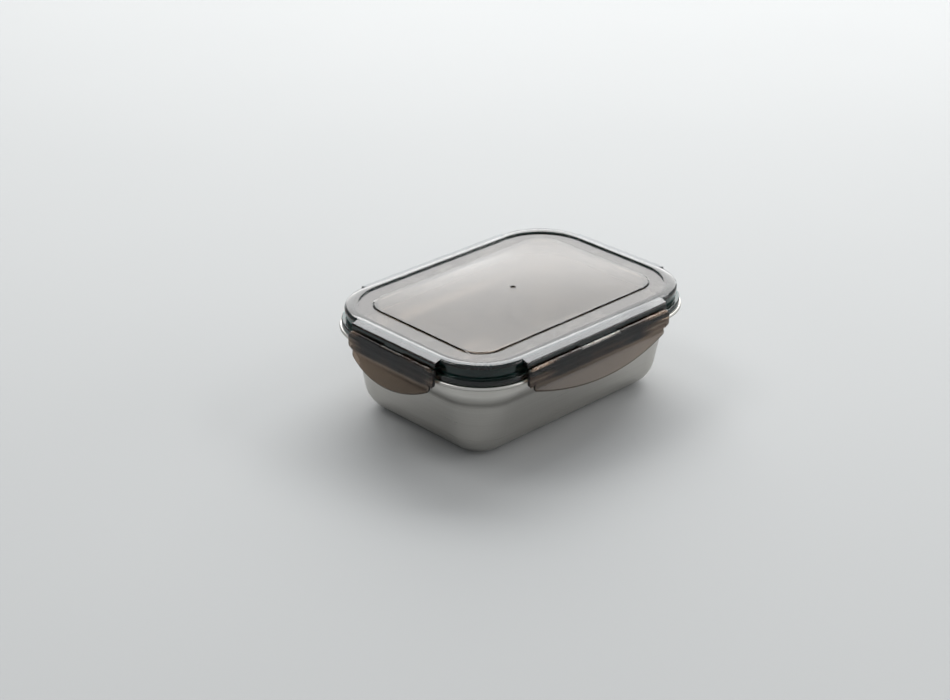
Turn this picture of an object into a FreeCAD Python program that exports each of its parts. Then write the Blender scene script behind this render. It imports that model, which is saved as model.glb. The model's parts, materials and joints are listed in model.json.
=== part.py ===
import FreeCAD
import Part

import math
import os

from FreeCAD import Vector

# Lunch box: a steel tub with a clear tinted lid that four hinged clip latches hold down.
# Millimetres. +X along the long side, +Z up, origin at the middle of the underside.
# A profile is drawn as (u, z, rounding), where u is the distance outwards from the corner centres,
# so u is also the plan radius at the corners.

# Steel tub
rim_length = 185.6
rim_width = 134.8
rim_corner = 35.0
tub_height = 53.5
sheet = 0.6
ledge_width = 7.2
wall_draft = 9.9
base_fillet = 18.0
neck_height = 12.2
shoulder_drop = 4.3
shoulder_set = 3.6
shoulder_round = 8.0
mouth_round = 1.4
bead_height = 2.2
hem_width = 3.0

# Lid
seat_gap = 0.3
lid_height = 11.6
lid_wall = 2.0
lid_inset = 2.8
lid_edge_round = 1.8
skirt_setback = 1.0
skirt_wall = 1.3
lip_inset = 1.2
lip_height = 3.0
lip_round = 0.9
small_round = 0.4
step_edge_round = 0.3
border_width = 6.0
border_flat = 0.5
border_round = 14.0
border_slope = 15.0
step_extra_round = 4.8
channel_depth = 1.0
plateau_inset = 17.2
plateau_rise = 0.8
plateau_edge_run = 1.0
plateau_round = 1.0
plateau_lean = 12.0
crown = 3.0
gate_radius = 1.7
gate_depth = 0.9

# Seal groove and locating rib under the lid
rib_clearance = 1.6
rib_thickness = 1.8
rib_depth = 4.0
gasket_clearance = 0.1
gasket_notch = 1.2

# Latch zones of the lid and the hinges under them
zone_proud = 3.5
zone_depth = 4.7
zone_edge_round = 1.4
zone_end_round = 1.0
long_zone = 113.0
short_zone = 67.6
pin_diameter = 2.0
pin_press = 0.02
pin_clearance = 0.05
pin_recess = 1.8
barrel_wall = 0.75
knuckle_wall = 0.5
hinge_gap = 0.5
hinge_outset = 0.3

# Clip latches
long_latch = 115.0
short_latch = 70.0
long_tab = 106.0
short_tab = 63.0
long_notch = 32.0
short_notch = 17.0
notch_gap = 0.4
notch_low = 1.2
plate_thickness = 1.7
latch_top_round = 0.9
latch_end_round = 4.5
latch_foot_round = 2.5
latch_bend = 9.4
latch_drop = 20.2
tab_end_drop = 12.5
tab_flare = 22.7
tab_tip = 1.1
long_hook = 111.0
short_hook = 66.0
hook_clearance = 0.3
hook_below_bead = 0.6
hook_rise = 0.6
hook_flat = 0.8
hook_ramp = 1.4

# Room that a cutting or trimming tool reaches past what it cuts, and the tolerance for finding an edge
past = 5.0
edge_tolerance = 1e-3

# Largest share of a run that the roundings at its ends may take up
fillet_share = 0.9

# Corner centres that every concentric outline shares
half_x = rim_length / 2 - rim_corner
half_y = rim_width / 2 - rim_corner

# Levels and radii that follow from the sizes above
mouth_u = rim_corner - ledge_width
wall_top_u = mouth_u - shoulder_set
wall_top = tub_height - neck_height - shoulder_drop
floor_u = wall_top_u - (wall_top - sheet) * math.tan(math.radians(wall_draft))
bead_low = tub_height - bead_height
lid_base = tub_height + seat_gap
lip_top = lid_base + lip_height
border_top = lid_base + lid_height
channel_top = border_top - channel_depth
lid_under = channel_top - lid_wall
plateau_edge = channel_top + plateau_rise
lid_u = rim_corner - lid_inset
skirt_u = lid_u - skirt_setback
skirt_inner = skirt_u - skirt_wall
lip_u = rim_corner - lip_inset
plateau_u = lid_u - plateau_inset
rib_outer = mouth_u - rib_clearance
rib_inner = rib_outer - rib_thickness
rib_low = tub_height - rib_depth
border_fall = math.tan(math.radians(border_slope))
crest_reach = border_round * math.tan(math.radians(border_slope / 2))
crest_u = lid_u - border_width + border_flat + crest_reach
lid_edge = border_top - (lid_u - crest_u) * border_fall
zone_u = lid_u + zone_proud
zone_top = border_top - (zone_u - crest_u) * border_fall
zone_low = border_top - zone_depth
pin_radius = pin_diameter / 2
barrel_radius = pin_radius + pin_clearance + barrel_wall
knuckle_radius = pin_radius + pin_press + knuckle_wall
hinge_u = zone_u + hinge_outset
hinge_z = zone_low - hinge_gap - barrel_radius

# Hinge distance from the middle and lengths along a long and a short side
long_side = {"distance": half_y + hinge_u, "latch": long_latch, "notch": long_notch,
             "tab": long_tab, "hook": long_hook, "zone": long_zone}
short_side = {"distance": half_x + hinge_u, "latch": short_latch, "notch": short_notch,
              "tab": short_tab, "hook": short_hook, "zone": short_zone}

# Turn of each side about +Z, away from the back
front_turn = 180.0
back_turn = 0.0
left_turn = 90.0
right_turn = -90.0
sides = {
    "front": (front_turn, long_side),
    "back": (back_turn, long_side),
    "left": (left_turn, short_side),
    "right": (right_turn, short_side),
}


def corner_arc(before, at, after, radius):
    """Start, middle and end of the arc that rounds one corner of an outline."""
    back = (before - at).normalize()
    ahead = (after - at).normalize()
    half_angle = back.getAngle(ahead) / 2
    bisector = (back + ahead).normalize()
    centre = at + bisector * (radius / math.sin(half_angle))
    reach = radius / math.tan(half_angle)
    return at + back * reach, centre - bisector * radius, at + ahead * reach


def outline_face(corners):
    """Face bounded by straight runs through corners given as (point, rounding)."""
    edges = []
    last = None
    first = None
    count = len(corners)
    for i in range(count):
        at, radius = corners[i]
        start = end = at
        arc = None
        if radius > 0:
            start, middle, end = corner_arc(corners[i - 1][0], at, corners[(i + 1) % count][0], radius)
            arc = Part.Arc(start, middle, end).toShape()
        if last is None:
            first = start
        else:
            edges.append(Part.makeLine(last, start))
        if arc:
            edges.append(arc)
        last = end
    edges.append(Part.makeLine(last, first))
    return Part.Face(Part.Wire(edges))


def profile_face(profile):
    """Face of a (u, z, rounding) profile, standing in the XZ plane."""
    return outline_face([(Vector(u, 0, z), rounding) for u, z, rounding in profile])


def ring(profile):
    """Carry a profile once round the box: four straight runs and four quarter turns."""
    face = profile_face(profile)
    up = Vector(0, 0, 1)
    corners = [
        Vector(half_x, half_y, 0),
        Vector(-half_x, half_y, 0),
        Vector(-half_x, -half_y, 0),
        Vector(half_x, -half_y, 0),
    ]
    pieces = []
    for i, corner in enumerate(corners):
        turned = face.copy()
        turned.rotate(Vector(0, 0, 0), up, 90 * i)
        turned.translate(corner)
        pieces.append(turned.revolve(corner, up, 90))
        turned.rotate(corner, up, 90)
        pieces.append(turned.extrude(corners[(i + 1) % 4] - corner))
    return pieces


def joined(pieces):
    """One clean solid from pieces that share faces."""
    return pieces[0].multiFuse(pieces[1:]).removeSplitter()


def ring_solid(profile):
    """Closed ring with the given section."""
    return joined(ring(profile))


def filled_solid(profile):
    """Solid with the given outer profile, whose first and last corners lie on u = 0."""
    low = min(profile[0][1], profile[-1][1])
    high = max(profile[0][1], profile[-1][1])
    middle = Part.makeBox(2 * half_x, 2 * half_y, high - low, Vector(-half_x, -half_y, low))
    return joined(ring(profile) + [middle])


def rounded_prism(half_length, half_width, radius, low, high):
    """Upright prism on a rounded rectangle."""
    corners = [(half_length, half_width), (-half_length, half_width),
               (-half_length, -half_width), (half_length, -half_width)]
    face = outline_face([(Vector(x, y, low), radius) for x, y in corners])
    return face.extrude(Vector(0, 0, high - low))


def bent_sheet(path, thickness):
    """Closed profile of a sheet that follows an open path, with its thickness on the path's right."""
    count = len(path)
    directions = []
    for i in range(count - 1):
        run = Vector(path[i + 1][0] - path[i][0], path[i + 1][1] - path[i][1], 0)
        directions.append(run.normalize())
    shifted = []
    for i in range(count):
        ahead = directions[min(i, count - 2)]
        behind = directions[max(i - 1, 0)]
        turn = behind.x * ahead.y - behind.y * ahead.x
        share = thickness / (1 + behind.dot(ahead))
        u = path[i][0] + share * (behind.y + ahead.y)
        z = path[i][1] - share * (behind.x + ahead.x)
        rounding = path[i][2]
        if rounding > 0:
            rounding = max(rounding + math.copysign(thickness, turn), 0)
        shifted.append((u, z, rounding))
    return list(path) + shifted[::-1]


def level_edges(shape, level, half_length, half_width):
    """Edges of a shape that lie at one level, within a rectangle about the middle."""
    found = []
    for edge in shape.Edges:
        middle = edge.CenterOfMass
        level_edge = edge.BoundBox.ZLength < edge_tolerance and abs(middle.z - level) < edge_tolerance
        inside_x = abs(middle.x) < half_length + edge_tolerance
        inside_y = abs(middle.y) < half_width + edge_tolerance
        if level_edge and inside_x and inside_y:
            found.append(edge)
    return found


def crowned_block(rise, base, depth):
    """Block under a crowned panel that is level along its edges and highest in the middle.

    On a surface of three by three poles the middle stands a quarter as high as its middle pole.
    """
    length = half_x + plateau_u
    width = half_y + plateau_u
    surface = Part.BezierSurface()
    surface.increase(2, 2)
    for i, x in enumerate((-length, 0, length)):
        for j, y in enumerate((-width, 0, width)):
            height = base + (4 * rise if i == j == 1 else 0)
            surface.setPole(i + 1, j + 1, Vector(x, y, height))
    return surface.toShape().extrude(Vector(0, 0, -depth))


def place(shape, side):
    """Set a piece that was drawn round its hinge axis, outwards along +Y, on one side of the box."""
    turn, lengths = sides[side]
    placed = shape.copy()
    placed.translate(Vector(0, lengths["distance"], hinge_z))
    placed.rotate(Vector(0, 0, 0), Vector(0, 0, 1), turn)
    return placed


def rod(radius, length):
    """Round bar along X, centred on the hinge axis."""
    return Part.makeCylinder(radius, length, Vector(-length / 2, 0, 0), Vector(1, 0, 0))


def bar(section, length):
    """Straight bar along X with a section given as (y, z, rounding)."""
    face = outline_face([(Vector(-length / 2, y, z), rounding) for y, z, rounding in section])
    return face.extrude(Vector(length, 0, 0))


def make_tub():
    """Drawn steel tray with a rounded base, a shoulder under an upright neck, and a hemmed ledge."""
    draft = math.radians(wall_draft)
    fillet = min(base_fillet, fillet_share * floor_u / math.tan((math.pi / 2 - draft) / 2))
    slope = math.atan2(shoulder_set, shoulder_drop)
    shoulder_run = math.hypot(shoulder_set, shoulder_drop)
    reach_share = math.tan(slope / 2) + math.tan((slope - draft) / 2)
    shoulder = min(shoulder_round, fillet_share * shoulder_run / reach_share)
    bead_round = fillet_share * bead_height / 2
    return filled_solid(bent_sheet([
        (0, sheet, 0),
        (floor_u, sheet, fillet - sheet),
        (wall_top_u, wall_top, shoulder),
        (mouth_u, wall_top + shoulder_drop, shoulder),
        (mouth_u, tub_height, mouth_round),
        (rim_corner, tub_height, bead_round),
        (rim_corner, bead_low, bead_round),
        (rim_corner - hem_width, bead_low, 0),
    ], sheet))


def make_lid():
    """Clear moulded lid with its groove, rib, latch zones and hinge knuckles."""
    # The border falls away outwards from a soft crest, and the latch zones carry the same slope further
    edge_angle = math.atan2(lid_edge - lip_top, lid_u - skirt_u) + math.radians(border_slope)
    edge_share = 1 / math.tan(edge_angle / 2)
    edge_run = (lid_u - crest_u) / math.cos(math.radians(border_slope)) - crest_reach
    edge_round = min(lid_edge_round, fillet_share * edge_run / edge_share)
    body = filled_solid([
        (0, border_top, 0),
        (crest_u, border_top, border_round),
        (lid_u, lid_edge, edge_round),
        (skirt_u, lip_top, small_round),
        (lip_u, lip_top, lip_round),
        (lip_u, lid_base, small_round),
        (skirt_inner, lid_base, 0),
        (skirt_inner, lid_under, 0),
        (rib_outer, lid_under, 0),
        (rib_outer, rib_low, small_round),
        (rib_inner, rib_low, small_round),
        (rib_inner, lid_under, small_round),
        (0, lid_under, 0),
    ])
    step_length = half_x + lid_u - border_width
    step_width = half_y + lid_u - border_width
    step_round = lid_u - border_width + step_extra_round
    body = body.cut(rounded_prism(step_length, step_width, step_round, channel_top, border_top + past))
    for level in (border_top, channel_top):
        body = body.makeFillet(step_edge_round, level_edges(body, level, step_length, step_width))

    # Centre panel: a rounded sloping edge under a crowned top, and the same crown underneath
    foot_u = plateau_u + plateau_edge_run
    lean = math.tan(math.radians(plateau_lean))
    panel = filled_solid([
        (0, lid_under, 0),
        (foot_u + lid_wall, lid_under, 0),
        (foot_u + lid_wall, channel_top, 0),
        (foot_u, channel_top, small_round),
        (plateau_u, plateau_edge, plateau_round),
        (0, plateau_edge + plateau_u * lean, 0),
    ])
    body = body.fuse(panel.common(crowned_block(crown, plateau_edge, lid_height)))
    hollow = filled_solid([
        (0, lid_under - past, 0),
        (foot_u - lid_wall, lid_under - past, 0),
        (foot_u - lid_wall, lid_under, 0),
        (plateau_u - lid_wall, plateau_edge - lid_wall, 0),
        (0, plateau_edge - lid_wall + plateau_u * lean, 0),
    ])
    body = body.cut(hollow.common(crowned_block(crown, plateau_edge - lid_wall, lid_height)))
    gate_z = plateau_edge + crown - gate_depth
    body = body.cut(Part.makeCylinder(gate_radius, gate_depth + past, Vector(0, 0, gate_z)))

    # Each zone starts on the slope, halfway between the crest's rounding and the edge's
    slope_cos = math.cos(math.radians(border_slope))
    root_u = (crest_u + lid_u + (crest_reach - edge_round * edge_share) * slope_cos) / 2
    for side, (turn, lengths) in sides.items():
        zone_length = lengths["zone"]
        edge_y = zone_u - hinge_u
        zone = bar([
            (skirt_inner + skirt_wall / 2 - hinge_u, zone_low - hinge_z, 0),
            (edge_y, zone_low - hinge_z, 0),
            (edge_y, zone_top - hinge_z, zone_edge_round),
            (root_u - hinge_u, border_top - (root_u - crest_u) * border_fall - hinge_z, 0),
        ], zone_length)
        plan = outline_face([
            (Vector(-zone_length / 2, crest_u - hinge_u, -past), 0),
            (Vector(zone_length / 2, crest_u - hinge_u, -past), 0),
            (Vector(zone_length / 2, edge_y, -past), zone_end_round),
            (Vector(-zone_length / 2, edge_y, -past), zone_end_round),
        ])
        zone = zone.common(plan.extrude(Vector(0, 0, lid_height + 2 * past)))
        lug_length = lengths["notch"] - 2 * notch_gap
        lug_depth = zone_u - hinge_outset - skirt_u
        web = Part.makeBox(lug_length, lug_depth / 2, zone_low - hinge_z,
                           Vector(-lug_length / 2, edge_y - lug_depth / 2, 0))
        lug = rod(knuckle_radius, lug_length).fuse(web)
        bore = rod(pin_radius + pin_press, lengths["latch"])
        body = body.fuse(place(zone, side)).fuse(place(lug, side)).cut(place(bore, side))
    return body.removeSplitter()


def make_gasket():
    """Seal ring in the lid's groove, with two soft lips that meet the ledge."""
    inner = rib_outer + gasket_clearance
    outer = skirt_inner - gasket_clearance
    middle = (inner + outer) / 2
    return ring_solid([
        (inner, lid_under, 0),
        (inner, lid_base, small_round),
        (middle - gasket_notch / 2, lid_base, small_round),
        (middle, lid_base + gasket_notch, small_round),
        (middle + gasket_notch / 2, lid_base, small_round),
        (outer, lid_base, small_round),
        (outer, lid_under, 0),
    ])


def make_latch(length, tab_length, notch, hook_length):
    """Clip latch round its hinge axis: a barrel, a plate with a hook rib, and a finger tab that flares outwards."""
    inner = barrel_radius - plate_thickness
    back_round = fillet_share * barrel_radius
    tip_y = barrel_radius + (latch_drop - latch_bend) * math.tan(math.radians(tab_flare))
    plate = bar([
        (-barrel_radius, barrel_radius, back_round),
        (barrel_radius, barrel_radius, latch_top_round),
        (barrel_radius, -latch_bend, 0),
        (tip_y, -latch_drop, 0),
        (tip_y - tab_tip, -latch_drop, 0),
        (inner, -latch_bend, 0),
        (inner, -barrel_radius, 0),
        (-barrel_radius, -barrel_radius, back_round),
    ], length)
    hook_y = rim_corner + hook_clearance - hinge_u
    hook_z = bead_low - hook_below_bead - hinge_z
    root_y = inner + plate_thickness / 2
    hook = bar([
        (root_y, hook_z + hook_rise, 0),
        (inner, hook_z + hook_rise, 0),
        (hook_y, hook_z, 0),
        (hook_y, hook_z - hook_flat, 0),
        (inner, hook_z - hook_flat - hook_ramp, 0),
        (root_y, hook_z - hook_flat - hook_ramp, 0),
    ], hook_length)

    # Front outline: a band with rounded ends, and a shorter tab below it that ends in one long arc
    half = length / 2
    half_tab = tab_length / 2
    depth = Vector(0, tip_y + 2 * past, 0)
    band = outline_face([
        (Vector(-half, -past, barrel_radius), latch_end_round),
        (Vector(half, -past, barrel_radius), latch_end_round),
        (Vector(half, -past, -latch_bend), latch_foot_round),
        (Vector(-half, -past, -latch_bend), latch_foot_round),
    ]).extrude(depth)
    corners = [
        Vector(-half_tab, -past, -latch_bend / 2),
        Vector(half_tab, -past, -latch_bend / 2),
        Vector(half_tab, -past, -tab_end_drop),
        Vector(-half_tab, -past, -tab_end_drop),
    ]
    tab = Part.Face(Part.Wire([
        Part.makeLine(corners[0], corners[1]),
        Part.makeLine(corners[1], corners[2]),
        Part.Arc(corners[2], Vector(0, -past, -latch_drop), corners[3]).toShape(),
        Part.makeLine(corners[3], corners[0]),
    ])).extrude(depth)
    body = plate.fuse(hook).common(band.fuse(tab))

    # Room for the lid's knuckle, and the bore for the pin
    gap = Part.makeBox(notch, depth.y, notch_low + past, Vector(-notch / 2, -past, -notch_low))
    room = rod(knuckle_radius + notch_gap, notch)
    return body.cut(gap).cut(room).cut(rod(pin_radius + pin_clearance, length)).removeSplitter()


def make_parts():
    """Every piece of the lunch box, by name."""
    parts = {"tub": make_tub(), "lid": make_lid(), "gasket": make_gasket()}
    for side, (turn, lengths) in sides.items():
        latch = make_latch(lengths["latch"], lengths["tab"], lengths["notch"], lengths["hook"])
        parts["latch_" + side] = place(latch, side)
        parts["hinge_pin_" + side] = place(rod(pin_radius, lengths["latch"] - 2 * pin_recess), side)
    return parts


os.makedirs("parts", exist_ok=True)
for name, shape in make_parts().items():
    shape.exportStep("parts/" + name + ".step")
    print(name, "valid" if shape.isValid() else "not valid", "volume", round(shape.Volume), "mm3")
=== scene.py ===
import json
import math

import bpy
from mathutils import Matrix, Vector


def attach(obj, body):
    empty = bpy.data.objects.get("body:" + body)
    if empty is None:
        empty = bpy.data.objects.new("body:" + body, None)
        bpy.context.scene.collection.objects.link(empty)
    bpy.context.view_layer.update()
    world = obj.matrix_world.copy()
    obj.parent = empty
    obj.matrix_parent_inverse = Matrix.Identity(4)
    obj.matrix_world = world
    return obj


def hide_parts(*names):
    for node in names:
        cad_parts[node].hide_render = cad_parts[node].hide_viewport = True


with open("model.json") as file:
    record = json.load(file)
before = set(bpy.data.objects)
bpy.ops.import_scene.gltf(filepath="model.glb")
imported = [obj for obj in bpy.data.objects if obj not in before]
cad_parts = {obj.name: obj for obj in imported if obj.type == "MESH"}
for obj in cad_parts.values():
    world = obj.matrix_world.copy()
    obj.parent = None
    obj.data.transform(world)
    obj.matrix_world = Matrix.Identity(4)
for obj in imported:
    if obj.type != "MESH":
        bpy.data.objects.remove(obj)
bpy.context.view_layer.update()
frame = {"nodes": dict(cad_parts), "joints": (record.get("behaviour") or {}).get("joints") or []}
mm = 0.001


# Selecting and finishing

def deselectAll():
    if bpy.context.mode != "OBJECT":
        bpy.ops.object.mode_set(mode="OBJECT")
    bpy.ops.object.select_all(action="DESELECT")


def makeActive(piece):
    deselectAll()
    piece.select_set(True)
    bpy.context.view_layer.objects.active = piece


def pickVerts(piece, wanted):  # leaves edit mode on, with only the wanted points selected
    bpy.ops.object.mode_set(mode="EDIT")
    bpy.ops.mesh.select_mode(type="VERT")
    bpy.ops.mesh.select_all(action="DESELECT")
    bpy.ops.object.mode_set(mode="OBJECT")
    for vert in piece.data.vertices:
        vert.select = wanted(vert.co)
    bpy.ops.object.mode_set(mode="EDIT")


def pickEdges(piece, wanted):  # the same for edges, by their two ends
    bpy.ops.object.mode_set(mode="EDIT")
    bpy.ops.mesh.select_mode(type="EDGE")
    bpy.ops.mesh.select_all(action="DESELECT")
    bpy.ops.object.mode_set(mode="OBJECT")
    verts = piece.data.vertices
    for edge in piece.data.edges:
        edge.select = wanted(verts[edge.vertices[0]].co, verts[edge.vertices[1]].co)
    bpy.ops.object.mode_set(mode="EDIT")


def mergePoints(piece, distance):  # also turns all faces outwards
    makeActive(piece)
    bpy.ops.object.mode_set(mode="EDIT")
    bpy.ops.mesh.select_mode(type="VERT")
    bpy.ops.mesh.select_all(action="SELECT")
    bpy.ops.mesh.remove_doubles(threshold=distance)
    bpy.ops.mesh.normals_make_consistent(inside=False)
    bpy.ops.object.mode_set(mode="OBJECT")


def applyPlace():
    bpy.ops.object.transform_apply(location=True, rotation=True, scale=True)


def addBlock(low, high):  # block between two corners, with its place in its mesh
    deselectAll()
    middle = (Vector(low) + Vector(high)) / 2
    bpy.ops.mesh.primitive_cube_add(size=1, location=middle)
    block = bpy.context.active_object
    block.scale = Vector(high) - Vector(low)
    applyPlace()
    return block


def addRod(radius, length, middle, axis, sides):  # round bar along x or y
    deselectAll()
    turn = {"x": (0, math.pi / 2, 0), "y": (math.pi / 2, 0, 0)}[axis]
    bpy.ops.mesh.primitive_cylinder_add(
        vertices=sides, radius=radius, depth=length, location=middle, rotation=turn)
    applyPlace()
    return bpy.context.active_object


def cutWith(piece, tool, operation):  # the tool is used up
    makeActive(piece)
    cut = piece.modifiers.new("cut", "BOOLEAN")
    cut.operation = operation
    cut.solver = "EXACT"
    cut.object = tool
    bpy.ops.object.modifier_apply(modifier=cut.name)
    bpy.data.objects.remove(tool, do_unlink=True)


# Clip latches, drawn round the hinge axis with the outside towards +Y

latchShape = {
    "barrelRadius": 1.8 * mm,
    "barrelRound": 1.62 * mm,
    "barrelSteps": 12,
    "barrelDepth": 1.0 * mm,
    "plateThickness": 1.7 * mm,
    "shoulderRound": 4.5 * mm,
    "shoulderSteps": 14,
    "footDrop": 9.1 * mm,
    "footRound": 2.5 * mm,
    "footSteps": 10,
    "drop": 21.1 * mm,
    "tabEndDrop": 12.1 * mm,
    "tabEndRound": 2.0 * mm,
    "tabEndSteps": 6,
    "arcStep": 2.4 * mm,
    "pastArc": 1.1,
    "frontRound": 1.0 * mm,
    "backRound": 0.35 * mm,
    "edgeSteps": 7,
    "bendDrop": 10.2 * mm,
    "bendRound": 1.0 * mm,
    "bendSteps": 6,
    "tabFlare": 24.3,
    "tabTip": 1.4 * mm,
    "hookTop": -7.1 * mm,
    "hookLow": -9.9 * mm,
    "hookNose": (-7.7 * mm, -8.5 * mm),
    "hookReach": -0.7 * mm,
    "notchLow": 0.9 * mm,
    "notchChamfer": 0.45 * mm,
    "chamferSides": 4,
    "knuckleRoom": 1.6 * mm,
    "roomShort": 0.7 * mm,
    "boreRadius": 1.05 * mm,
    "markRadius": 0.75 * mm,
    "markDepth": 0.45 * mm,
    "markPlace": (0.45 * mm, -8.2 * mm),
    "boreSides": 48,
    "reach": 20 * mm,
    "mergeDistance": 0.005 * mm,
    "flatAngle": 0.1,
    "smoothAngle": 40,
}

latchSizes = {
    "long": {"length": 115 * mm, "tab": 106 * mm, "notch": 32 * mm, "hook": 111 * mm,
             "marks": (18.6 * mm, -28.8 * mm)},
    "short": {"length": 70 * mm, "tab": 63 * mm, "notch": 17 * mm, "hook": 66 * mm,
              "marks": (17.7 * mm, -7.7 * mm)},
}

sideTurns = {"front": (180, "long"), "back": (0, "long"), "left": (90, "short"), "right": (-90, "short")}
hinges = {joint["child"]: joint["pos_m"] for joint in frame["joints"] if joint["type"] == "hinge"}


def roundAlong(bar, place, offset, steps):  # rounds the long edge of a bar that lies at one (y, z)
    length = bar.dimensions.x
    near = latchShape["mergeDistance"]
    pickEdges(bar, lambda a, b: abs(a.x - b.x) > length / 2
              and all(abs(p.y - place[0]) < near and abs(p.z - place[1]) < near for p in (a, b)))
    bpy.ops.mesh.bevel(offset=offset, segments=steps, profile=0.5)
    bpy.ops.object.mode_set(mode="OBJECT")


def latchBarrel(length):  # bar along the hinge, rounded on the inside
    shape = latchShape
    radius = shape["barrelRadius"]
    end = length / 2 + radius
    barrel = addBlock((-end, -radius, -radius), (end, shape["barrelDepth"], radius))
    for height in (radius, -radius):
        roundAlong(barrel, (-radius, height), shape["barrelRound"], shape["barrelSteps"])
    return barrel


def latchOutline(size, inner, outer):  # a band with rounded ends over a tab that ends in one long arc
    shape = latchShape
    half, halfTab = size["length"] / 2, size["tab"] / 2
    foot = shape["footDrop"]

    def across(a, b):
        return abs(a.y - b.y) > (outer - inner) / 2

    band = addBlock((-half, inner, -foot), (half, outer, shape["barrelRadius"]))
    pickEdges(band, lambda a, b: across(a, b) and a.z > 0)
    bpy.ops.mesh.bevel(offset=shape["shoulderRound"], segments=shape["shoulderSteps"], profile=0.5)
    pickEdges(band, lambda a, b: across(a, b) and abs(a.z + foot) < shape["mergeDistance"])
    bpy.ops.mesh.bevel(offset=shape["footRound"], segments=shape["footSteps"], profile=0.5)
    sag = shape["drop"] - shape["tabEndDrop"]
    arcRadius = (halfTab * halfTab + sag * sag) / (2 * sag)
    tab = addBlock((-halfTab, inner, -shape["drop"] * shape["pastArc"]), (halfTab, outer, -foot / 2))
    sides = round(2 * math.pi * arcRadius / shape["arcStep"])
    arc = addRod(arcRadius, 4 * shape["reach"], (0, 0, arcRadius - shape["drop"]), "y", sides)
    cutWith(tab, arc, "INTERSECT")
    near = shape["arcStep"] / 4  # takes up the short steps that the cut leaves at the corners
    mergePoints(tab, near)
    pickEdges(tab, lambda a, b: across(a, b) and abs(a.x) > halfTab - near
              and abs(a.z + shape["tabEndDrop"]) < 2 * near)
    bpy.ops.mesh.bevel(offset=shape["tabEndRound"], segments=shape["tabEndSteps"], profile=0.5)
    bpy.ops.object.mode_set(mode="OBJECT")
    cutWith(band, tab, "UNION")
    mergePoints(band, shape["mergeDistance"])
    bpy.ops.object.mode_set(mode="EDIT")
    bpy.ops.mesh.dissolve_limited(angle_limit=math.radians(shape["flatAngle"]))
    bpy.ops.object.mode_set(mode="OBJECT")
    return band


def turnBelow(plate, height, depth, angle, limit):  # turns the points under a height and behind a limit
    near = latchShape["mergeDistance"]
    pickVerts(plate, lambda co: co.z < height - near and co.y < limit)
    bpy.ops.transform.rotate(value=-angle, orient_axis="X", orient_type="GLOBAL",
                             center_override=(0, depth, height))
    bpy.ops.object.mode_set(mode="OBJECT")


def latchPlate(size):  # flat plate with rounded edges, its tab thinned and then bent outwards
    shape = latchShape
    outer = shape["barrelRadius"]
    inner = outer - shape["plateThickness"]
    near = shape["mergeDistance"]
    plate = latchOutline(size, inner, outer)
    for depth, offset in ((outer, shape["frontRound"]), (inner, shape["backRound"])):
        pickEdges(plate, lambda a, b: abs(a.y - depth) < near and abs(b.y - depth) < near)
        bpy.ops.mesh.bevel(offset=offset, segments=shape["edgeSteps"], profile=0.5, clamp_overlap=False)
    top, low = shape["bendRound"] - shape["bendDrop"], -shape["bendRound"] - shape["bendDrop"]
    steps = shape["bendSteps"]
    cuts = [top + (low - top) * step / steps for step in range(steps + 1)]
    for cut in cuts:
        bpy.ops.mesh.select_all(action="SELECT")
        bpy.ops.mesh.bisect(plane_co=(0, 0, cut), plane_no=(0, 0, 1))
    bpy.ops.object.mode_set(mode="OBJECT")
    thinning = math.atan2(shape["plateThickness"] - shape["tabTip"], shape["drop"] + low)
    between = (inner + shape["backRound"] + outer - shape["frontRound"]) / 2
    turnBelow(plate, low, inner, thinning, between)
    for cut in reversed(cuts):
        turnBelow(plate, cut, outer, math.radians(shape["tabFlare"]) / len(cuts), shape["reach"])
    return plate


def latchHook(length):  # rib on the inside that snaps under the hemmed rim
    shape = latchShape
    low, high = shape["hookLow"], shape["hookTop"]
    noseTop, noseLow = shape["hookNose"]
    noseShare = (noseTop - noseLow) / (high - low)
    noseCentre = (noseTop - noseShare * high) / (1 - noseShare)
    root = shape["barrelRadius"] - shape["plateThickness"] / 2
    hook = addBlock((-length / 2, shape["hookReach"], low), (length / 2, root, high))
    pickVerts(hook, lambda co: co.y < 0)
    bpy.ops.transform.resize(value=(1, 1, noseShare), center_override=(0, 0, noseCentre))
    bpy.ops.object.mode_set(mode="OBJECT")
    return hook


def makeLatch(name, size):  # plate, barrel and hook joined, then notch, bore and marks cut out
    shape = latchShape
    length, notch = size["length"], size["notch"]
    reach = shape["reach"]
    sides = shape["boreSides"]
    latch = latchPlate(size)
    latch.name = name
    barrel = latchBarrel(length)
    cutWith(barrel, latchOutline(size, -reach, reach), "INTERSECT")
    cutWith(latch, barrel, "UNION")
    cutWith(latch, latchHook(size["hook"]), "UNION")
    opening = addBlock((-notch / 2, -reach, shape["notchLow"]), (notch / 2, reach, reach))
    cutWith(latch, opening, "DIFFERENCE")
    edge = (0, shape["barrelRadius"], shape["notchLow"])
    cutWith(latch, addRod(shape["notchChamfer"], notch, edge, "x", shape["chamferSides"]), "DIFFERENCE")
    room = notch - shape["roomShort"]
    cutWith(latch, addRod(shape["knuckleRoom"], room, (0, 0, 0), "x", sides), "DIFFERENCE")
    cutWith(latch, addRod(shape["boreRadius"], 2 * length, (0, 0, 0), "x", sides), "DIFFERENCE")
    for along in size["marks"]:  # shallow round mould marks inside
        mark = addRod(shape["markRadius"], 2 * shape["markDepth"], (along, *shape["markPlace"]), "y", sides)
        cutWith(latch, mark, "DIFFERENCE")
    mergePoints(latch, shape["mergeDistance"])
    bpy.ops.object.shade_smooth_by_angle(angle=math.radians(shape["smoothAngle"]))
    flatter = latch.modifiers.new("flatFaces", "WEIGHTED_NORMAL")
    flatter.keep_sharp = True
    bpy.ops.object.modifier_apply(modifier=flatter.name)
    return latch


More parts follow.
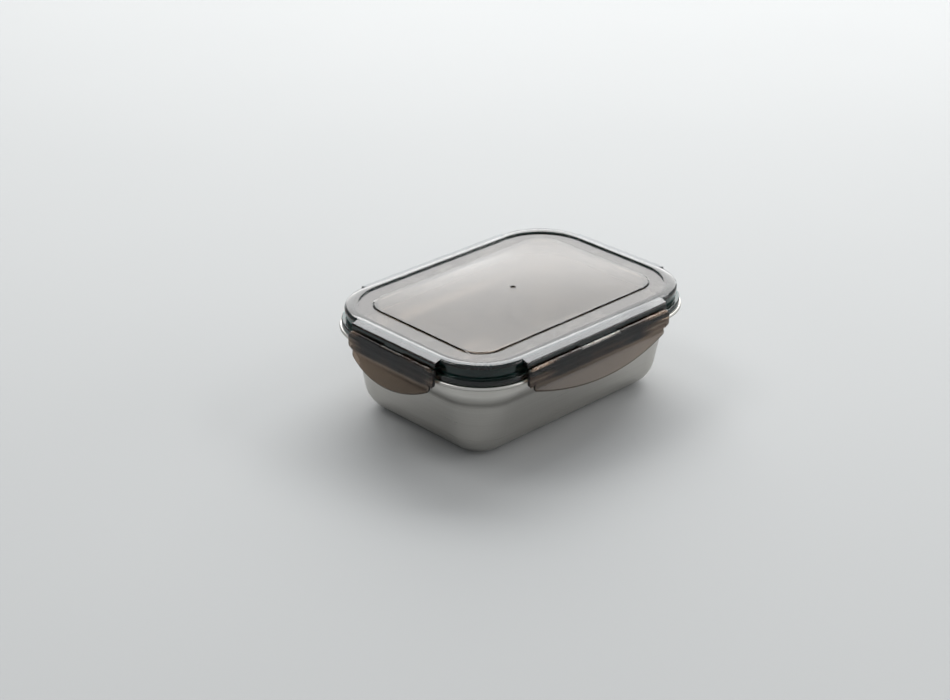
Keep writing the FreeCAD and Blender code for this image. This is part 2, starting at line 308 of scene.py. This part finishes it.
def placeLatch(master, side, turn):  # a copy on one side's hinge, riding on that side's body
    deselectAll()
    latch = master.copy()
    latch.data = master.data.copy()
    latch.name = "latch" + side.capitalize()
    latch.data.name = latch.name
    bpy.context.collection.objects.link(latch)
    spin = Matrix.Rotation(math.radians(turn), 4, "Z")
    latch.matrix_world = Matrix.Translation(hinges["latch_" + side]) @ spin
    makeActive(latch)
    applyPlace()
    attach(latch, "latch_" + side)
    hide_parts("latch_" + side)
    return latch


masters = {kind: makeLatch("latchMaster", size) for kind, size in latchSizes.items()}
latches = [placeLatch(masters[kind], side, turn) for side, (turn, kind) in sideTurns.items()]
for master in masters.values():
    bpy.data.objects.remove(master, do_unlink=True)
print("latches:", ", ".join(f"{latch.name} {len(latch.data.polygons)} faces" for latch in latches))


# Materials

def addNode(tree, kind, **settings):
    node = tree.nodes.new(kind)
    for key, value in settings.items():
        setattr(node, key, value)
    return node


def setInputs(node, **values):
    for key, value in values.items():
        node.inputs[key].default_value = value
    return node


def newMaterial(name):
    material = bpy.data.materials.new(name)
    material.use_nodes = True
    tree = material.node_tree
    tree.nodes.clear()
    output = addNode(tree, "ShaderNodeOutputMaterial")
    shader = addNode(tree, "ShaderNodeBsdfPrincipled")
    tree.links.new(shader.outputs["BSDF"], output.inputs["Surface"])
    coords = addNode(tree, "ShaderNodeTexCoord")
    return material, tree, shader, coords.outputs["Object"]


def newGroup(name, inputs, outputs):
    tree = bpy.data.node_groups.new(name, "ShaderNodeTree")
    for label, kind, value in inputs:
        socket = tree.interface.new_socket(label, in_out="INPUT", socket_type=kind)
        if value is not None:
            socket.default_value = value
    for label, kind in outputs:
        tree.interface.new_socket(label, in_out="OUTPUT", socket_type=kind)
    start = addNode(tree, "NodeGroupInput")
    end = addNode(tree, "NodeGroupOutput")
    return tree, start, end


def useGroup(tree, group, vector, **values):
    node = addNode(tree, "ShaderNodeGroup", node_tree=group)
    tree.links.new(vector, node.inputs["Vector"])
    return setInputs(node, **values)


def stretched(tree, vector, scale, turn=(0, 0, 0)):
    mapping = setInputs(addNode(tree, "ShaderNodeMapping"), Scale=scale, Rotation=turn)
    tree.links.new(vector, mapping.inputs["Vector"])
    return mapping.outputs["Vector"]


def noiseAt(tree, vector, scale, detail=3.0, roughness=0.55):
    noise = setInputs(addNode(tree, "ShaderNodeTexNoise"), Scale=scale, Detail=detail, Roughness=roughness)
    tree.links.new(vector, noise.inputs["Vector"])
    return noise.outputs["Fac"]


def remap(tree, value, fromLow, fromHigh, toLow=0.0, toHigh=1.0, smooth=True):
    node = addNode(tree, "ShaderNodeMapRange", interpolation_type="SMOOTHSTEP" if smooth else "LINEAR")
    setInputs(node, **{"From Min": fromLow, "From Max": fromHigh, "To Min": toLow, "To Max": toHigh})
    tree.links.new(value, node.inputs["Value"])
    return node.outputs["Result"]


def combine(tree, operation, first, second):
    node = addNode(tree, "ShaderNodeMath", operation=operation)
    for socket, value in zip(node.inputs, (first, second)):
        if isinstance(value, (int, float)):
            socket.default_value = value
        else:
            tree.links.new(value, socket)
    return node.outputs["Value"]


# The mix node's sockets share their names, so they are taken by number
mixSockets = {"FLOAT": (2, 3, 0), "RGBA": (6, 7, 2)}


def blend(tree, kind, factor, first, second):
    node = addNode(tree, "ShaderNodeMix", data_type=kind)
    firstSocket, secondSocket, result = mixSockets[kind]
    tree.links.new(factor, node.inputs["Factor"])
    for number, value in ((firstSocket, first), (secondSocket, second)):
        if isinstance(value, tuple):
            node.inputs[number].default_value = (*value, 1)
        else:
            tree.links.new(value, node.inputs[number])
    return node.outputs[result]


def blendColours(tree, factor, first, second):
    return blend(tree, "RGBA", factor, first, second)


def bumpFrom(tree, height, distance):
    bump = setInputs(addNode(tree, "ShaderNodeBump"), Strength=1.0, Distance=distance)
    tree.links.new(height, bump.inputs["Height"])
    return bump.outputs["Normal"]


marksLook = {
    "size": 30.0,
    "detail": 4.0,
    "breakUp": 0.6,
    "swirl": 0.6,
    "span": (0.46, 0.7),
    "hazeScale": 420.0,
    "hazeDetail": 2.0,
}


def smudgeGroup():  # soft finger marks and haze
    look = marksLook
    tree, start, end = newGroup(
        "handlingMarks",
        [("Vector", "NodeSocketVector", None), ("Size", "NodeSocketFloat", look["size"])],
        [("Mask", "NodeSocketFloat"), ("Haze", "NodeSocketFloat")])
    broad = addNode(tree, "ShaderNodeTexNoise")
    setInputs(broad, Detail=look["detail"], Roughness=look["breakUp"], Distortion=look["swirl"])
    tree.links.new(start.outputs["Vector"], broad.inputs["Vector"])
    tree.links.new(start.outputs["Size"], broad.inputs["Scale"])
    tree.links.new(remap(tree, broad.outputs["Fac"], *look["span"]), end.inputs["Mask"])
    fine = noiseAt(tree, start.outputs["Vector"], look["hazeScale"], look["hazeDetail"])
    tree.links.new(fine, end.inputs["Haze"])
    return tree


# Each set of scratches: its turn, then its scale along and across
scratchLook = {
    "sets": ((0.5, 9.0, 900.0), (1.9, 12.0, 1300.0), (2.8, 7.0, 1100.0)),
    "upright": 60.0,
    "detail": 2.0,
    "span": (0.7, 0.74),
}


def scratchGroup():  # sparse hair-fine scratches in three directions
    look = scratchLook
    tree, start, end = newGroup(
        "hairScratches", [("Vector", "NodeSocketVector", None)], [("Mask", "NodeSocketFloat")])
    total = None
    for turn, along, across in look["sets"]:
        vector = stretched(tree, start.outputs["Vector"], (along, across, look["upright"]), (0, 0, turn))
        lines = remap(tree, noiseAt(tree, vector, 1.0, look["detail"]), *look["span"])
        total = lines if total is None else combine(tree, "MAXIMUM", total, lines)
    tree.links.new(total, end.inputs["Mask"])
    return tree


handlingMarks = smudgeGroup()
hairScratches = scratchGroup()

steelFinish = {
    "light": (0.56, 0.55, 0.52),
    "dark": (0.515, 0.5, 0.47),
    "along": 14,
    "across": 2200,
    "grainDetail": 3.0,
    "grainBreakUp": 0.6,
    "grainHeight": 0.0012 * mm,
    "levelSpan": (0.75, 0.95),
    "colourSpan": (0.3, 0.7),
    "roughSpan": (0.25, 0.75),
    "roughness": (0.27, 0.35),
    "anisotropy": 0.35,
    "marks": 22.0,
    "marksDark": 0.25,
    "marksRough": 0.06,
}


def steelMaterial():  # brushed round the walls, and along the box on level faces
    material, tree, shader, coords = newMaterial("satinSteel")
    finish = steelFinish
    along, across = finish["along"], finish["across"]
    grains = []
    for scale in ((along, along, across), (along, across, along)):
        vector = stretched(tree, coords, scale)
        grains.append(noiseAt(tree, vector, 1.0, finish["grainDetail"], finish["grainBreakUp"]))
    normals = addNode(tree, "ShaderNodeNewGeometry")
    split = addNode(tree, "ShaderNodeSeparateXYZ")
    tree.links.new(normals.outputs["Normal"], split.inputs["Vector"])
    level = remap(tree, combine(tree, "ABSOLUTE", split.outputs["Z"], 0), *finish["levelSpan"])
    streaks = blend(tree, "FLOAT", level, *grains)
    marks = useGroup(tree, handlingMarks, coords, Size=finish["marks"]).outputs["Mask"]
    shine = remap(tree, streaks, *finish["colourSpan"])
    colour = blendColours(tree, shine, finish["dark"], finish["light"])
    clouds = combine(tree, "MULTIPLY", marks, finish["marksDark"])
    tree.links.new(blendColours(tree, clouds, colour, finish["dark"]), shader.inputs["Base Color"])
    rough = remap(tree, streaks, *finish["roughSpan"], *finish["roughness"])
    rough = combine(tree, "ADD", rough, combine(tree, "MULTIPLY", marks, finish["marksRough"]))
    tree.links.new(rough, shader.inputs["Roughness"])
    tree.links.new(bumpFrom(tree, streaks, finish["grainHeight"]), shader.inputs["Normal"])
    setInputs(shader, Metallic=1.0, Anisotropic=finish["anisotropy"])
    return material


smokeFinish = {
    "clear": (0.8, 0.76, 0.72),
    "hazed": (0.72, 0.69, 0.66),
    "marks": 26.0,
    "roughness": (0.04, 0.09),
    "scratchRough": 0.05,
    "patchScale": 30.0,
    "patchDetail": 2.0,
    "patchSpan": (0.35, 0.65),
    "waveScale": 22.0,
    "waveDetail": 1.0,
    "waviness": 0.0015 * mm,
}

# Where shade is painted into the colour: each row names a measure and runs from one value of it to another,
# and from one share of the painted shade to another
lidTintAndShade = {
    "absorption": (0.42, 0.36, 0.3),
    "density": 520.0,
    "ior": 1.5,
    "shadeBlue": (0.05, 0.4, 0.42),
    "shadeBrown": (0.05, 0.36, 0.35),
    "shadeWhere": (
        # painted shade: below the top, the lid's rim faces, skirt and knuckles get a dark teal colour
        # standing for the shade of the gasket and gaps behind them
        ("height", 63.6 * mm, 62.6 * mm, 0.0, 1.0),
        ("reach", 30.0 * mm, 31.5 * mm, 0.0, 1.0),
        ("reach", 35.8 * mm, 36.2 * mm, 1.0, 0.0)),
    # painted shade: outside the flat panel the lid's colour is darker, standing for the shade in the
    # channel and border over the gasket
    "shadeAroundPanel": (0.38, 0.35, 0.325),
    "panelReach": (15.2 * mm, 16.0 * mm),
}

latchTintAndShade = {
    "absorption": (0.55, 0.45, 0.36),
    "density": 1150.0,
    "ior": 1.4,
    "shadeBlue": (0.06, 0.08, 0.11),
    "shadeBrown": (0.17, 0.12, 0.09),
    "shadeWhere": (
        # painted shade: the latch body gets a dark colour where the space behind it lies in shade; the top
        # edge and the ends stay clear
        ("height", 48.0 * mm, 49.6 * mm, 0.0, 1.0),
        ("height", 59.4 * mm, 60.1 * mm, 1.0, 0.0),
        ("corner", 2200 * mm * mm, 3200 * mm * mm, 1.0, 0.05)),
    # painted shade: a dark outline along the tab's lower rim
    "edgeShade": 0.85,
    "edgeBelow": (47.2 * mm, 46.8 * mm),
    "outward": (0, 10 * mm),
    "downward": (0.25, 0.05),
}

cornerCentre = (57.8 * mm, 32.4 * mm)


def planHeight(tree, place):
    return place.outputs["Z"]


def planCorner(tree, place):  # x times y, which grows towards a corner of the box
    product = combine(tree, "MULTIPLY", place.outputs["X"], place.outputs["Y"])
    return combine(tree, "ABSOLUTE", product, 0)


def planReach(tree, place):  # distance outwards from the rectangle through the corner centres
    spans = []
    for axis, start in zip("XY", cornerCentre):
        span = combine(tree, "SUBTRACT", combine(tree, "ABSOLUTE", place.outputs[axis], 0), start)
        spans.append(combine(tree, "MAXIMUM", span, 0))
    squares = [combine(tree, "MULTIPLY", span, span) for span in spans]
    return combine(tree, "POWER", combine(tree, "ADD", *squares), 0.5)


planMeasures = {"height": planHeight, "corner": planCorner, "reach": planReach}


def outerEdges(tree, coords, place, tintAndShade):  # outward faces that turn downwards, as on the rim of a tab, where a dark outline is painted
    facing = addNode(tree, "ShaderNodeSeparateXYZ")
    tree.links.new(coords.node.outputs["Normal"], facing.inputs["Vector"])
    parts = [combine(tree, "MULTIPLY", facing.outputs[axis], place.outputs[axis]) for axis in "XY"]
    outward = remap(tree, combine(tree, "ADD", *parts), *tintAndShade["outward"])
    return combine(tree, "MULTIPLY", outward, remap(tree, facing.outputs["Z"], *tintAndShade["downward"]))


def paintedShadeShare(tree, coords, place, measures, tintAndShade):  # how much shade is painted into the colour, from 0 to 1
    depth = None
    for measure, *span in tintAndShade["shadeWhere"]:
        share = remap(tree, measures[measure], *span)
        depth = share if depth is None else combine(tree, "MULTIPLY", depth, share)
    # painted shade: a dark outline on the tab's lower rim, below a given height
    if "edgeShade" in tintAndShade:
        low = remap(tree, place.outputs["Z"], *tintAndShade["edgeBelow"], 0.0, tintAndShade["edgeShade"])
        edge = combine(tree, "MULTIPLY", outerEdges(tree, coords, place, tintAndShade), low)
        depth = combine(tree, "MAXIMUM", depth, edge)
    return depth


def smokeMaterial(name, tintAndShade):  # clear plastic that absorbs light, with shade painted into its colour in places
    material, tree, shader, coords = newMaterial(name)
    finish = smokeFinish
    marks = useGroup(tree, handlingMarks, coords, Size=finish["marks"]).outputs["Mask"]
    scratches = useGroup(tree, hairScratches, coords).outputs["Mask"]
    place = addNode(tree, "ShaderNodeSeparateXYZ")
    tree.links.new(coords, place.inputs["Vector"])
    kinds = dict.fromkeys(kind for kind, *span in tintAndShade["shadeWhere"])
    measures = {kind: planMeasures[kind](tree, place) for kind in kinds}
    clear = finish["clear"]
    # painted shade: a darker colour outside the flat panel
    if "shadeAroundPanel" in tintAndShade:
        outside = remap(tree, measures["reach"], *tintAndShade["panelReach"])
        clear = blendColours(tree, outside, clear, tintAndShade["shadeAroundPanel"])
    colour = blendColours(tree, marks, clear, finish["hazed"])
    patches = noiseAt(tree, coords, finish["patchScale"], finish["patchDetail"])
    patches = remap(tree, patches, *finish["patchSpan"])
    # the painted shade's colour, varied at random between bluish and brownish
    shadeColour = blendColours(tree, patches, tintAndShade["shadeBlue"], tintAndShade["shadeBrown"])
    depth = paintedShadeShare(tree, coords, place, measures, tintAndShade)
    tree.links.new(blendColours(tree, depth, colour, shadeColour), shader.inputs["Base Color"])
    rough = remap(tree, marks, 0, 1, *finish["roughness"], False)
    rough = combine(tree, "ADD", rough, combine(tree, "MULTIPLY", scratches, finish["scratchRough"]))
    tree.links.new(rough, shader.inputs["Roughness"])
    waves = noiseAt(tree, coords, finish["waveScale"], finish["waveDetail"])
    tree.links.new(bumpFrom(tree, waves, finish["waviness"]), shader.inputs["Normal"])
    setInputs(shader, **{"IOR": tintAndShade["ior"], "Transmission Weight": 1.0})
    absorb = addNode(tree, "ShaderNodeVolumeAbsorption")
    setInputs(absorb, Color=(*tintAndShade["absorption"], 1), Density=tintAndShade["density"])
    output = shader.outputs["BSDF"].links[0].to_node
    tree.links.new(absorb.outputs["Volume"], output.inputs["Volume"])
    return material


siliconeFinish = {
    "dark": (0.012, 0.15, 0.15),
    "dusty": (0.024, 0.19, 0.19),
    "grain": 0.03 * mm,
    "marks": 60.0,
    "hazeSpan": (0.3, 0.7),
    "roughness": (0.45, 0.62),
}


def siliconeMaterial():
    material, tree, shader, coords = newMaterial("darkSilicone")
    finish = siliconeFinish
    marks = useGroup(tree, handlingMarks, coords, Size=finish["marks"])
    dust, haze = marks.outputs["Mask"], marks.outputs["Haze"]
    tree.links.new(blendColours(tree, dust, finish["dark"], finish["dusty"]), shader.inputs["Base Color"])
    rough = remap(tree, haze, *finish["hazeSpan"], *finish["roughness"])
    tree.links.new(rough, shader.inputs["Roughness"])
    tree.links.new(bumpFrom(tree, haze, finish["grain"]), shader.inputs["Normal"])
    return material


pinFinish = {
    "light": (0.68, 0.67, 0.65),
    "dark": (0.5, 0.49, 0.47),
    "lines": 900.0,
    "lineHeight": 0.004 * mm,
    "lineSpan": (0.3, 0.7),
    "roughness": (0.2, 0.36),
}


def pinMaterial():
    material, tree, shader, coords = newMaterial("drawnPinSteel")
    finish = pinFinish
    lines = noiseAt(tree, coords, finish["lines"])
    tree.links.new(blendColours(tree, lines, finish["dark"], finish["light"]), shader.inputs["Base Color"])
    rough = remap(tree, lines, *finish["lineSpan"], *finish["roughness"])
    tree.links.new(rough, shader.inputs["Roughness"])
    tree.links.new(bumpFrom(tree, lines, finish["lineHeight"]), shader.inputs["Normal"])
    setInputs(shader, Metallic=1.0)
    return material


def wear(piece, material):  # one material all over
    if not piece.material_slots:
        piece.data.materials.append(material)
    for slot in piece.material_slots:
        slot.material = material


satinSteel = steelMaterial()
lidSmoke = smokeMaterial("smokeLid", lidTintAndShade)
latchSmoke = smokeMaterial("smokeLatch", latchTintAndShade)
darkSilicone = siliconeMaterial()
pinSteel = pinMaterial()
wear(frame["nodes"]["tub"], satinSteel)
wear(frame["nodes"]["lid"], lidSmoke)
wear(frame["nodes"]["gasket"], darkSilicone)
for side in sideTurns:
    wear(frame["nodes"]["hinge_pin_" + side], pinSteel)
for latch in latches:
    wear(latch, latchSmoke)
print("materials on")


# Floor

floorLook = {
    "size": 12.0,
    "cells": 8,
    "pale": (0.43, 0.433, 0.432),
    "grey": (0.41, 0.413, 0.413),
    "noiseDetail": 2.0,
    "cloudScale": 3.0,
    "toothScale": 900.0,
    "toothHeight": 0.02 * mm,
    "roughness": 0.75,
    "specular": 0.15,
}


def makeFloor():
    look = floorLook
    cells = look["cells"]
    deselectAll()
    bpy.ops.mesh.primitive_grid_add(x_subdivisions=cells, y_subdivisions=cells, size=look["size"])
    floor = bpy.context.active_object
    floor.name = "studioFloor"
    material, tree, shader, coords = newMaterial("palePaper")
    cloud = noiseAt(tree, coords, look["cloudScale"], look["noiseDetail"])
    tree.links.new(blendColours(tree, cloud, look["pale"], look["grey"]), shader.inputs["Base Color"])
    setInputs(shader, **{"Roughness": look["roughness"], "Specular IOR Level": look["specular"]})
    tooth = noiseAt(tree, coords, look["toothScale"], look["noiseDetail"])
    tree.links.new(bumpFrom(tree, tooth, look["toothHeight"]), shader.inputs["Normal"])
    wear(floor, material)


makeFloor()
print("floor laid")


# Camera and light, turned with the photograph's view; frameWidth and focal are in pixels

cameraView = {
    "frameWidth": 950,
    "focal": 1970,
    "azimuth": -44.34,
    "elevation": 26.54,
    "roll": 0.54,
    "right": -21.83 * mm,
    "up": -33.73 * mm,
    "distance": 1134.24 * mm,
    "aimHeight": 65.3 * mm,
    "sensor": 36.0,
    "clipStart": 0.01,
}


def viewAxes():  # the camera's right, up and back
    azimuth, elevation, roll = (math.radians(cameraView[key]) for key in ("azimuth", "elevation", "roll"))
    level = math.cos(elevation)
    back = Vector((math.sin(azimuth) * level, -math.cos(azimuth) * level, math.sin(elevation)))
    right = Vector((math.cos(azimuth), math.sin(azimuth), 0))
    up = back.cross(right)
    cosine, sine = math.cos(roll), math.sin(roll)
    return right * cosine + up * sine, up * cosine - right * sine, back


def floorAxes():  # away from the camera and to its right, along the floor
    azimuth = math.radians(cameraView["azimuth"])
    away = Vector((-math.sin(azimuth), math.cos(azimuth), 0))
    right = Vector((math.cos(azimuth), math.sin(azimuth), 0))
    return away, right


def makeCamera():
    right, up, back = viewAxes()
    eye = back * cameraView["distance"] + right * cameraView["right"] + up * cameraView["up"]
    eye.z += cameraView["aimHeight"]
    bpy.ops.object.camera_add()
    camera = bpy.context.active_object
    camera.name = "photoCamera"
    camera.matrix_world = Matrix((
        (right.x, up.x, back.x, eye.x),
        (right.y, up.y, back.y, eye.y),
        (right.z, up.z, back.z, eye.z),
        (0, 0, 0, 1)))
    camera.data.sensor_fit = "HORIZONTAL"
    camera.data.sensor_width = cameraView["sensor"]
    camera.data.lens = cameraView["focal"] * cameraView["sensor"] / cameraView["frameWidth"]
    camera.data.clip_start = cameraView["clipStart"]
    bpy.context.scene.camera = camera


# Each light: metres from the box's middle, away from the camera, to its right and up
softLights = {
    "backSoftbox": {"away": 2.0, "right": 0.15, "up": 1.0, "size": (2.2, 1.4),
                    "power": 29.5, "colour": (1.0, 0.995, 0.985)},
    "highSoftbox": {"away": 1.25, "right": 0.2, "up": 1.5, "size": (2.3, 0.65),
                    "power": 30.0, "colour": (0.97, 0.99, 1.0)},
    "leftSoftbox": {"away": 0.2, "right": -1.3, "up": 1.9, "size": (1.0, 0.8),
                    "power": 11.0, "colour": (1.0, 1.0, 0.99)},
    "rightStrip": {"away": 0.26, "right": 1.7, "up": 1.4, "size": (1.4, 0.2),
                   "power": 6.0, "colour": (1.0, 0.995, 0.985)},
    "rightSoftbox": {"away": -0.1, "right": 1.9, "up": 0.55, "size": (1.6, 0.8),
                     "power": 7.0, "colour": (1.0, 0.99, 0.975)},
}
lightsFace = (0, 0, 40 * mm)

# The room is darker on the left, and glows low down behind the box
roomTone = {
    "colour": (0.95, 0.98, 1.0),
    "strength": 0.6,
    "leftStrength": 0.25,
    "leftSpan": (0.45, 0.85),
    "backGlow": 1.5,
    "backSpan": (0.75, 0.92),
    "glowHeight": (0.3, 0.17),
}


def makeLights(away, right):
    for name, look in softLights.items():
        place = away * look["away"] + right * look["right"] + Vector((0, 0, look["up"]))
        bpy.ops.object.light_add(type="AREA", location=place)
        light = bpy.context.active_object
        light.name = name
        light.rotation_euler = (Vector(lightsFace) - place).to_track_quat("-Z", "Y").to_euler()
        light.data.shape = "RECTANGLE"
        light.data.size, light.data.size_y = look["size"]
        light.data.energy = look["power"]
        light.data.color = look["colour"]
        light.visible_camera = False


def makeRoom(away, right):
    tone = roomTone
    world = bpy.data.worlds.new("studioRoom")
    bpy.context.scene.world = world
    world.use_nodes = True
    tree = world.node_tree
    room = setInputs(tree.nodes["Background"], Color=(*tone["colour"], 1))
    coords = addNode(tree, "ShaderNodeTexCoord").outputs["Generated"]
    shades = []
    for side, span, shares in (
            (-right, tone["leftSpan"], (tone["strength"], tone["leftStrength"])),
            (away, tone["backSpan"], (0.0, tone["backGlow"])),
            (Vector((0, 0, 1)), tone["glowHeight"], (0.0, 1.0))):
        facing = addNode(tree, "ShaderNodeVectorMath", operation="DOT_PRODUCT")
        tree.links.new(coords, facing.inputs[0])
        facing.inputs[1].default_value = side
        shades.append(remap(tree, facing.outputs["Value"], *span, *shares))
    general, glow, low = shades
    strength = combine(tree, "ADD", general, combine(tree, "MULTIPLY", glow, low))
    tree.links.new(strength, room.inputs["Strength"])


deselectAll()
makeCamera()
makeLights(*floorAxes())
makeRoom(*floorAxes())
bpy.context.scene.view_settings.view_transform = "Standard"
print("camera and lights set")
